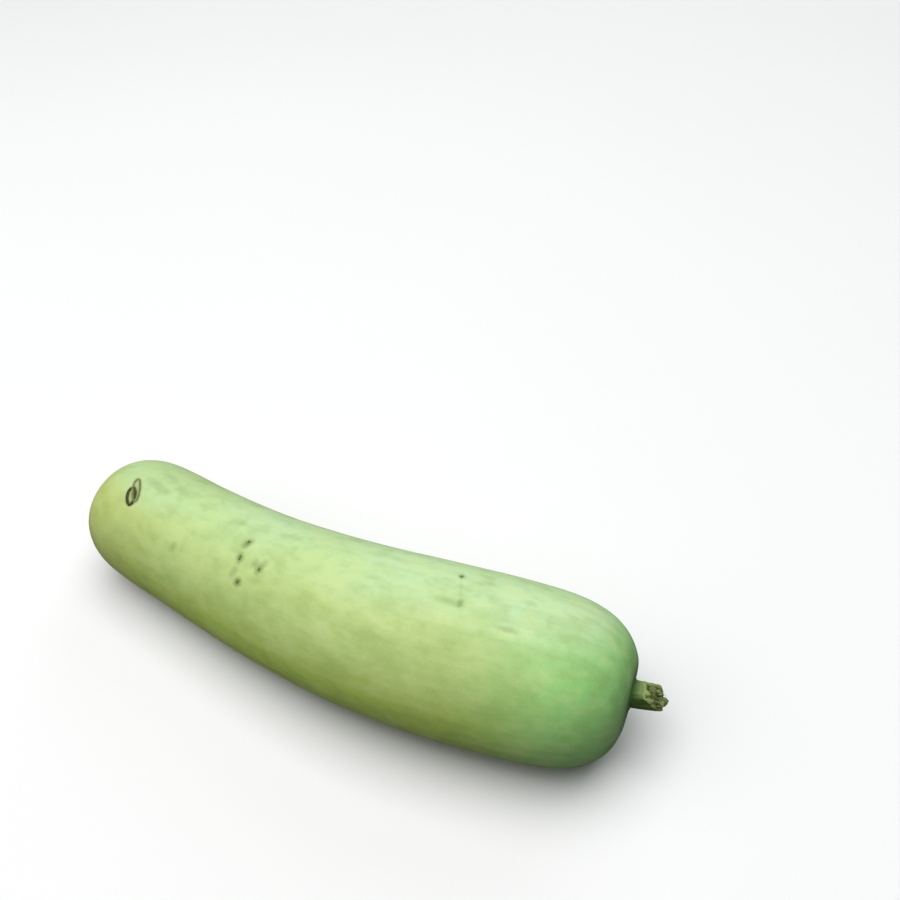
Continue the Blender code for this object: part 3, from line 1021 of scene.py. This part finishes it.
def speck_tree(lay_down):
    """Geometry tree of the corky specks: a low crusty dome on the skin at each point it is given."""
    tree, form, result = start_piece_tree("Skin Specks")
    s, angle, _ = split_axes(position_in(tree))
    points = store(form.geometry, "angle", angle, "FLOAT")
    points = set_position(points, join_axes(*sides(skin_at(form, s, angle), angle), s))
    turn = join_axes(0.0, 0.0, named_attribute(tree, "angle", "FLOAT"))
    dome = result_of(tree, "GeometryNodeMeshIcoSphere", "Mesh", {
        "Radius": 1.0, "Subdivisions": DOME_DIVISIONS})
    domes = scatter(points, dome, turn, named_attribute(tree, "half", "FLOAT_VECTOR"))

    position = position_in(tree)
    across, up, s = split_axes(position)
    mesh = store_unbent(domes, s, across, up)
    radius = distance(across, up) + SPECK_CRUST * (noise(position, CORK_GRAIN, 3.0, 0.6) - 0.5)
    across, up = sides(radius, direction(up, across))
    return finish_tree(result, bend(mesh, lay_down, form, across=across, up=up, along=s), form)


def fibre_tree(bend_stem):
    """Geometry tree of the torn fibres that stand round the rim of the cut."""
    tree, form, result = start_piece_tree("Cut Fibres")
    share, _ = point_numbers(tree, FIBRES + 1)

    def draw(span, number):
        """A random number for each fibre: every draw has a seed of its own."""
        return result_of(tree, "FunctionNodeRandomValue", "Value_001", {
            "Min_001": span[0], "Max_001": span[1], "Seed": form.seed + number}, data_type="FLOAT")

    angle = share * math.tau + draw(FIBRE_SHIFT, 1)
    across, up = sides(form.stem_tip * draw(FIBRE_RING, 2), angle)
    points = set_position(row_of_points(tree, FIBRES), join_axes(across, up, form.stem_length - FIBRE_ROOT))
    turn = join_axes(draw(FIBRE_LEAN, 3), draw(FIBRE_LEAN, 4), draw(FIBRE_SPIN, 5))
    scale = join_axes(draw(FIBRE_GIRTH, 6), draw(FIBRE_GIRTH, 7), draw(FIBRE_TALLNESS, 8))
    fibres = scatter(points, result_of(tree, "GeometryNodeMeshCone", "Mesh", FIBRE_SHAPE), turn, scale)
    across, up, height = split_axes(position_in(tree))
    mesh = store_unbent(fibres, height, across, up)
    return finish_tree(result, bend(mesh, bend_stem, form, across=across, up=up, height=height), form)


def button_tree(lay_down):
    """Geometry tree of the dry button at the blossom tip: a thin rimmed disc with fine cracks."""
    tree, form, result = start_piece_tree("Blossom Scar")
    done, _ = point_numbers(tree, BUTTON_POINTS)
    turn = done * math.pi
    radius = BUTTON_RADIUS * sine(turn) ** BUTTON_ROUNDING
    rim = BUTTON_RIM * ease(radius / BUTTON_RADIUS, *BUTTON_RIM_SPAN) * ease(1.0 - done * 2.0, *BUTTON_FRONT)
    outline = outline_curve(radius, rim * -1.0 - BUTTON_THICKNESS * cosine(turn), BUTTON_POINTS)

    mesh, radius, height, angle = turned_ball(outline, BUTTON_AROUND, BUTTON_RINGS)
    flat = join_axes(*sides(radius, angle), 0.0)
    share = radius / BUTTON_RADIUS
    rags = BUTTON_RAGGED * (noise(flat, BUTTON_RAG_SIZE, 3.0, 0.6) - 0.5) * ease(share, *BUTTON_RAG_SPAN)
    cracks = cosine(CRACKS * angle + CRACK_WANDER * noise(flat, CRACK_SIZE))
    cracks = cracks * ease(share, *CRACK_START) * ease(share, *CRACK_END)
    crust = CRUST_HEIGHT * (noise(flat, CRUST_SIZE, 3.0, 0.65) - 0.5)
    height = height + ease(height * -1.0, 0.0, BUTTON_THICKNESS) * (crust + CRACK_HEIGHT * cracks)
    across, up = sides(radius * (1.0 + rags), angle)
    mesh = store_unbent(mesh, height, across, up)
    return finish_tree(result, bend(mesh, lay_down, form, across=across, up=up, along=height), form)


def grow(name, tree, material, points=(), extra=None):
    """Run a geometry tree on a new object and keep the result as its plain mesh."""
    mesh = bpy.data.meshes.new(name + "_start")
    if points:
        mesh.from_pydata([(s, math.radians(turn), 0.0) for s, turn, _, _ in points], [], [])
        half = mesh.attributes.new("half", "FLOAT_VECTOR", "POINT")
        for row, (_, _, half_length, half_width) in zip(half.data, points):
            row.vector = (SPECK_HEIGHT, half_width, half_length)
    piece = bpy.data.objects.new(name, mesh)
    bpy.context.scene.collection.objects.link(piece)
    modifier = piece.modifiers.new("Growth", "NODES")
    modifier.node_group = tree
    values = {**form_inputs(), "Material": material, **(extra or {})}
    for item in tree.interface.items_tree:
        if item.in_out == "INPUT" and item.name in values:
            modifier[item.identifier] = values[item.name]
    depsgraph = bpy.context.evaluated_depsgraph_get()
    grown = bpy.data.meshes.new_from_object(
        piece.evaluated_get(depsgraph), preserve_all_data_layers=True, depsgraph=depsgraph)
    piece.modifiers.remove(modifier)
    piece.data = grown
    grown.name = name
    bpy.data.meshes.remove(mesh)
    if not grown.polygons:
        raise RuntimeError(f"{name} came out empty")
    return piece


def put_in_place(piece, replaces=None):
    """Move a piece's mesh to where the frame has it, and fix the piece to the gourd's body."""
    piece.data.transform(Matrix.Translation(bpy.context.scene.gourd_stage.line_start))
    piece.data.update()
    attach(piece, BODY)
    if replaces:
        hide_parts(replaces)


def box_of(mesh):
    """Lowest and highest corner of a mesh."""
    corners = [[vertex.co[axis] for vertex in mesh.vertices] for axis in range(3)]
    return Vector([min(row) for row in corners]), Vector([max(row) for row in corners])


def mottling_group():
    """Node group: soft blotches of a given size, drawn out along the fruit."""
    inputs = {"Vector": None, "Size": 0.02, "Stretch": 1.0, "Contrast": 1.0}
    _, given, result = start_tree("ShaderNodeTree", "Mottling", inputs, "Mask")
    along, across, up = split_axes(given.vector)
    blotch = noise(join_axes(along / given.stretch, across, up), given.size, 2.0, 0.45)
    return end_tree(result, clamp((blotch - 0.5) * given.contrast + 0.5))


def fleck_group():
    """Node group: small scattered dots of a given size."""
    inputs = {"Vector": None, "Size": 0.002, "Fill": 0.3}
    tree, given, result = start_tree("ShaderNodeTree", "Flecks", inputs, "Mask")
    reach = result_of(tree, "ShaderNodeTexVoronoi", "Distance", {
        "Vector": given.vector, "Scale": 1.0 / given.size})
    return end_tree(result, ease(reach, given.fill, given.fill * FLECK_MIDDLE))


def stain_group():
    """Node group: one soft-edged stain at a place along the fruit and an angle round it."""
    inputs = {"Vector": None, "Along": 0.1, "Angle": 1.5, "Half Length": 0.002, "Half Width": 0.002,
              "Lean": 0.0, "Strength": 0.5}
    _, given, result = start_tree("ShaderNodeTree", "Stain", inputs, "Mask")
    s, across, up = split_axes(given.vector)
    sideways = (direction(up, across) - given.angle) * distance(across, up)
    lengthwise = s - given.along - given.lean * sideways
    reach = distance(lengthwise / given.half_length, sideways / given.half_width)
    ragged = reach + STAIN_RAGGED * (noise(given.vector, STAIN_RAG_SIZE, 2.0) - 0.5)
    return end_tree(result, ease(ragged, *STAIN_EDGE) * given.strength)


def start_material(name):
    """A material, its node tree and its Principled shader."""
    material = bpy.data.materials.new(name)
    material.use_nodes = True
    return material, material.node_tree, material.node_tree.nodes["Principled BSDF"]


def unbent_place(tree):
    """The place on the straight gourd that a material's pattern follows."""
    return result_of(tree, "ShaderNodeAttribute", "Vector", attribute_name=UNBENT)


def finish_material(material, shader, values, relief=None, depth=0.0):
    """Fill a shader's sockets, with fine relief of a depth in metres on its normal."""
    fill_all(shader, values)
    if relief is not None:
        bump = {"Height": relief, "Distance": depth, "Strength": 1.0}
        fill(shader.inputs["Normal"], result_of(material.node_tree, "ShaderNodeBump", "Normal", bump))
    arrange(material.node_tree)
    return material


def blend(share, colour, other):
    """A mix of two colours."""
    return result_of(share.tree, "ShaderNodeMix", "Result_Color", {
        "Factor_Float": share, "A_Color": colour, "B_Color": other}, data_type="RGBA")


def lay_coats(colour, coats):
    """A colour with coats laid over it in turn: each is its share of the surface and its own colour."""
    for share, coat in coats:
        colour = blend(share, colour, coat)
    return colour


def coats_from(rows, masks, paints, within=1.0):
    """Coats of colour that follow masks, all over or only within a part of the surface."""
    return [(ease(masks[mask], start, full) * within * strength, paints[name])
            for mask, start, full, strength, name in rows]


def mask_of(group, place, **values):
    """The mask that a node group makes at a place."""
    return output(use_group(place.tree, group, vector=place, **values), "Mask")


def mottle(place, size, stretch, contrast):
    """A mask of blotches."""
    return mask_of(shared_groups().mottling, place, size=size, stretch=stretch, contrast=contrast)


def palette():
    """The colours by their names, as plain numbers."""
    colours = bpy.context.scene.gourd_colours
    paints = colours.bl_rna.properties.items()
    return {key: tuple(getattr(colours, key)) for key, colour in paints if colour.type in NUMBER_TYPES}


def scar_coats(s, angle, radius, paints):
    """Coats of the healed scar: tissue inside its rings, pale skin beside their lines, and the lines."""
    along, beside = scar_place(s, angle, radius)
    coats = []
    lines = []
    for ring in SCAR_RINGS:
        lip_radius, darkness, tissue = ring[5:]
        reach, off = scar_reach(along, beside, ring)
        coats.append((ease(reach, *TISSUE_EDGE) * tissue, paints["scar_tissue"]))
        pale = bell(off - BAND_PLACE * lip_radius, BAND_WIDTH)
        coats.append((pale * (BAND_STRENGTH * darkness), paints["scar_halo"]))
        line = bell(off, lip_radius + LINE_SPREAD)
        lines.append((line * (LINE_STRENGTH * darkness), paints["scar_line"]))
    return coats + lines[::-1]


def skin_material():
    """Waxy skin: whitish above, partly bloom and partly painted highlight, yellow olive below, partly painted
    shade, mottled, streaked towards the stem and stained, with painted shade round the stem and on its end
    face.
    """
    material, tree, shader = start_material("Gourd Skin")
    paints = palette()
    groups = shared_groups()
    place = unbent_place(tree)
    s, across, up = split_axes(place)
    radius = distance(across, up)
    angle = direction(up, across)
    girth = larger(radius, TIP_RADIUS)
    masks = {name: mottle(place, *pattern) for name, pattern in SKIN_PATTERNS.items()}
    masks["along"] = s
    uneven = masks["broad"] - 0.5
    facing_bloom_highlight = (across * math.cos(BLOOM_HIGHLIGHT_SIDE) + up * math.sin(BLOOM_HIGHLIGHT_SIDE)) / girth
    bloom_and_highlight_on_top = ease(facing_bloom_highlight + BLOOM_HIGHLIGHT_UNEVEN * uneven, *BLOOM_HIGHLIGHT_SPAN) * ease(s, *BLOOM_HIGHLIGHT_STRETCH)
    least, added = BLOOM_HIGHLIGHT_STRENGTH
    # Yellow olive below: partly the skin's own tint, partly painted shade on the lower sides
    coats = [(ease(up / girth + FLANK_SHADE_UNEVEN * uneven, *FLANK_SHADE_SPAN), paints["flank"])]
    coats += coats_from(END_COATS, masks, paints)
    # Whitish coat on the upper side: partly the skin's waxy bloom, partly painted highlight
    coats.append((bloom_and_highlight_on_top * (least + added * masks["broad"]), paints["bloom_and_highlight"]))
    coats += coats_from(BLOTCH_COATS, masks, paints)
    coats += coats_from(STREAK_COATS, masks, paints, within=ease(s, *STREAK_STRETCH))
    coats += coats_from(GRAIN_COATS, masks, paints)
    for name, (size, filled, strength, colour) in SKIN_FLECKS.items():
        masks[name] = mask_of(groups.flecks, place, size=size, fill=filled)
        coats.append((masks[name] * strength, paints[colour]))
    # The tip coats end in painted shade on the stem end's face
    coats += coats_from(TIP_COATS, masks, paints)
    # Dark ring round the stem: partly the skin's own darker green, partly painted shade of the hollow round
    # the stem
    ring_and_shade_by_stem = ease(radius, *STEM_RING_AND_SHADE_RADII) * ease(s, *STEM_RING_AND_SHADE_STRETCH)
    coats.append((ring_and_shade_by_stem * STEM_RING_AND_SHADE_STRENGTH, paints["rim"]))
    for along, turn, half_length, half_width, lean, strength in STAINS:
        mask = mask_of(groups.stain, place, along=along, angle=math.radians(turn), half_length=half_length,
                       half_width=half_width, lean=lean, strength=strength)
        coats.append((mask, paints["stain"]))
    coats += scar_coats(s, angle, radius, paints)

    smooth, by_blotches, by_streaks = SKIN_ROUGHNESS
    by_fine, by_grain, by_pores = SKIN_RELIEF
    relief = by_fine * masks["fine"] + by_grain * masks["grain"] - by_pores * masks["pores"]
    return finish_material(material, shader, {
        "Base Color": lay_coats(paints["skin"], coats),
        "Roughness": smooth + by_blotches * masks["blotches"] + by_streaks * masks["streaks"],
        "Specular IOR Level": 0.35,
        "Subsurface Weight": 0.12,
        "Subsurface Radius": (0.7, 1.0, 0.35),
        "Subsurface Scale": 0.004,
    }, relief, SKIN_DEPTH)


def stem_material():
    """Fresh ridged stem, pale on its ridges, with a painted highlight on its top and painted shade at its
    foot, and a fibrous cut that has dried brown, its bundles paler above and darker in their gaps, partly as
    painted highlight and shade.
    """
    material, tree, shader = start_material("Cut Stem")
    form = bpy.context.scene.gourd_form
    paints = palette()
    place = unbent_place(tree)
    height, across, up = split_axes(place)
    grain = mottle(place, *STEM_GRAIN)
    blotches = mottle(place, *STEM_BLOTCHES)
    share = distance(across, up) / form.stem_radius
    ridge = 0.5 + 0.5 * cosine(FURROWS * direction(up, across))
    level = up / form.stem_radius
    dry = ease(height + DRIED_UNEVEN * (blotches - 0.5), *(form.stem_length - down for down in DRIED_BAND))
    cut = ease(height, *(form.stem_length - down for down in CUT_BAND))
    gap, above = bundle_cells(across, up)

    def strength_of(strength, mask):
        """A coat's strength where a mask makes it stronger."""
        least, added = strength
        return least + added * mask

    masks = {"grain": grain, "level": level, "height": height}
    coats = coats_from(STEM_GRAIN_COATS, masks, paints)
    coats.append((ridge * RIDGE_PALENESS, paints["fibre"]))
    # Painted highlight on the stem's top, and painted shade at its foot where it meets the fruit
    coats += coats_from(STEM_COATS, masks, paints)
    coats.append((dry * strength_of(DRY_STRENGTH, ease(level, *DRY_LEVELS)), paints["dry_cut"]))
    coats.append((cut * strength_of(BLOTCH_STRENGTH, blotches), paints["dry_cut"]))
    # Pale upper side of each bundle: pale fibre and partly painted highlight
    coats.append((cut * ease(above, *STEP_SPAN) * STEP_PALENESS, paints["fibre"]))
    # Dark cork in the gaps between the bundles, stronger lower down: partly the cut's dark gaps, partly
    # painted shade
    coats.append((gap * cut * strength_of(GAP_STRENGTH, ease(level, *GAP_LEVELS)), paints["cork"]))
    pale_rim = ease(share, *RIM_SPAN) * strength_of(RIM_STRENGTH, ease(level, *RIM_LEVELS))
    coats.append((cut * pale_rim, paints["fibre"]))
    return finish_material(material, shader, {
        "Base Color": lay_coats(paints["stem"], coats),
        "Roughness": 0.6 + 0.2 * dry,
        "Specular IOR Level": 0.4,
        "Subsurface Weight": 0.05,
        "Subsurface Scale": 0.002,
    }, grain, STEM_DEPTH)


def dry_material(name, colour, other, contrast=CORK_CONTRAST):
    """Dry plant tissue, cork or fibre, in two of the gourd's colours."""
    material, tree, shader = start_material(name)
    paints = palette()
    grain = mottle(unbent_place(tree), *DRY_GRAIN, contrast)
    return finish_material(material, shader, {
        "Base Color": blend(ease(grain, *SECOND_TONE) * SECOND_TONE_STRENGTH, paints[colour], paints[other]),
        "Roughness": 0.75 + 0.15 * grain,
        "Specular IOR Level": 0.3,
    }, grain, DRY_DEPTH)


def floor_material(backdrop):
    """Pale matt floor with a faint unevenness, which turns into the evenly lit backdrop far away."""
    material, tree, shader = start_material("Pale Floor")
    colour = palette()["floor"]

    def dimmed(share):
        return tuple(share * part for part in colour[:3]) + (1.0,)

    place = result_of(tree, "ShaderNodeTexCoord", "Object")
    x, y, _ = split_axes(place)
    far = ease(distance(x, y), *BACKDROP_SPAN)
    seen = blend(far, blend(noise(place, FLOOR_CLOUD, 2.0), colour, dimmed(FLOOR_SHADE)), BLACK)
    to_camera = result_of(tree, "ShaderNodeLightPath", "Is Camera Ray")
    return finish_material(material, shader, {
        "Base Color": blend(to_camera, dimmed(FLOOR_BOUNCE), seen),
        "Emission Color": blend(far * to_camera, BLACK, (backdrop, backdrop, backdrop, 1.0)),
        "Emission Strength": 1.0,
        "Roughness": 0.9,
        "Specular IOR Level": 0.1,
    })


def hang(name, data, place, back):
    """Put a light or a camera at a place, with its back to a direction."""
    thing = bpy.data.objects.new(name, data)
    thing.location = place
    thing.rotation_euler = (-back).to_track_quat("-Z", "Y").to_euler()
    bpy.context.scene.collection.objects.link(thing)
    return thing


class GOURD_OT_fruit(bpy.types.Operator):
    """Grow the fruit with its skin"""

    bl_idname = "gourd.fruit"
    bl_label = "Fruit"

    def execute(self, context):
        fruit = grow("gourd_fruit", fruit_tree(shared_groups().lay_down), skin_material())
        low, high = box_of(fruit.data)
        cad_low, cad_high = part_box("fruit")
        if max(abs(a - b) for a, b in zip(high - low, cad_high - cad_low)) > BOX_TOLERANCE:
            raise RuntimeError(f"the fruit is {tuple(high - low)} and its frame {tuple(cad_high - cad_low)}")
        start = (cad_low + cad_high - low - high) / 2
        context.scene.gourd_stage.line_start = (start.x, start.y, 0.0)
        put_in_place(fruit, "fruit")
        return {"FINISHED"}


class GOURD_OT_stem(bpy.types.Operator):
    """Grow the cut stem and the torn fibres at its end"""

    bl_idname = "gourd.stem"
    bl_label = "Stem"

    def execute(self, context):
        bend_stem = bend_stem_group(shared_groups().lay_down)
        put_in_place(grow("gourd_stem", stem_tree(bend_stem), stem_material()), "stem")
        straw = dry_material("Torn Fibre", "fibre", "dry_cut", FIBRE_CONTRAST)
        put_in_place(grow("stem_fibres", fibre_tree(bend_stem), straw))
        return {"FINISHED"}


class GOURD_OT_marks(bpy.types.Operator):
    """Add the healed scar's corky lips, the corky specks and the dry scar at the blossom tip"""

    bl_idname = "gourd.marks"
    bl_label = "Skin Marks"

    def execute(self, context):
        lay_down = shared_groups().lay_down
        lip = scar_lip_tree(lay_down)
        corks = (dry_material("Dark Cork", "cork", "stain"), dry_material("Pale Cork", "pale_cork", "stain"))
        for number, (row, cork) in enumerate(zip(SCAR_RINGS, corks), 1):
            put_in_place(grow(f"scar_lip_{number}", lip, cork, extra=dict(zip(LIP_SIZES, row))))
        brown = dry_material("Speck Cork", "speck", "stain")
        put_in_place(grow("skin_specks", speck_tree(lay_down), brown, points=SPECKS))
        dry = dry_material("Blossom Cork", "blossom_cork", "speck")
        put_in_place(grow("blossom_scar", button_tree(lay_down), dry))
        return {"FINISHED"}


class GOURD_OT_stage(bpy.types.Operator):
    """Set up the floor, the soft light and the camera"""

    bl_idname = "gourd.stage"
    bl_label = "Stage"

    def execute(self, context):
        stage = context.scene.gourd_stage
        bpy.ops.mesh.primitive_plane_add(size=stage.floor_size, location=(0.0, 0.0, 0.0))
        floor = context.object
        floor.name = "floor"
        floor.data.materials.append(floor_material(stage.backdrop_strength))

        for name, place, power, colour in LIGHTS:
            light = bpy.data.lights.new(name, "AREA")
            light.shape = "SQUARE"
            light.size = LIGHT_SIZE
            light.energy = getattr(stage, power)
            light.color = colour
            hang(name, light, place, Vector(place))

        world = bpy.data.worlds.new("studio")
        world.use_nodes = True
        seen = result_of(world.node_tree, "ShaderNodeLightPath", "Is Camera Ray")
        strength = stage.sky_strength + seen * (stage.backdrop_strength - stage.sky_strength)
        fill_all(world.node_tree.nodes["Background"], {"Color": WHITE + (1.0,), "Strength": strength})
        context.scene.world = world
        context.scene.view_settings.view_transform = "Standard"

        eye = bpy.data.cameras.new("camera")
        eye.lens = stage.lens
        eye.sensor_width = SENSOR_WIDTH
        level = math.cos(stage.elevation)
        back = Vector((math.sin(stage.azimuth) * level, -math.cos(stage.azimuth) * level,
                       math.sin(stage.elevation)))
        context.scene.camera = hang("camera", eye, Vector(stage.target) + back * stage.distance, back)
        return {"FINISHED"}


class GOURD_PT_panel(bpy.types.Panel):
    """The steps that build the gourd, and its sizes and colours"""

    bl_label = "Bottle Gourd"
    bl_idname = "GOURD_PT_panel"
    bl_space_type = "VIEW_3D"
    bl_region_type = "UI"
    bl_category = "Gourd"

    def draw(self, context):
        layout = self.layout
        for step in STEPS:
            layout.operator(step.bl_idname)
        for settings in (context.scene.gourd_form, context.scene.gourd_colours, context.scene.gourd_stage):
            box = layout.box()
            for key, size in settings.bl_rna.properties.items():
                if size.type in NUMBER_TYPES:
                    box.prop(settings, key)


STEPS = (GOURD_OT_fruit, GOURD_OT_stem, GOURD_OT_marks, GOURD_OT_stage)
SETTINGS = (("gourd_form", GourdForm), ("gourd_colours", GourdColours), ("gourd_stage", GourdStage))
made_groups = {}


def shared_groups():
    """The node groups that more than one piece uses, built the first time they are asked for."""
    if not made_groups:
        made_groups.update(lay_down=lay_down_group(), mottling=mottling_group(), flecks=fleck_group(),
                           stain=stain_group())
    return SimpleNamespace(**made_groups)


def register():
    for settings_name, settings in SETTINGS:
        bpy.utils.register_class(settings)
        setattr(bpy.types.Scene, settings_name, PointerProperty(type=settings))
    for step in STEPS:
        bpy.utils.register_class(step)
    bpy.utils.register_class(GOURD_PT_panel)


def unregister():
    bpy.utils.unregister_class(GOURD_PT_panel)
    for step in reversed(STEPS):
        bpy.utils.unregister_class(step)
    for settings_name, settings in reversed(SETTINGS):
        delattr(bpy.types.Scene, settings_name)
        bpy.utils.unregister_class(settings)


def main():
    register()
    bpy.ops.gourd.fruit()
    bpy.ops.gourd.stem()
    bpy.ops.gourd.marks()
    bpy.ops.gourd.stage()


if __name__ == "__main__":
    main()
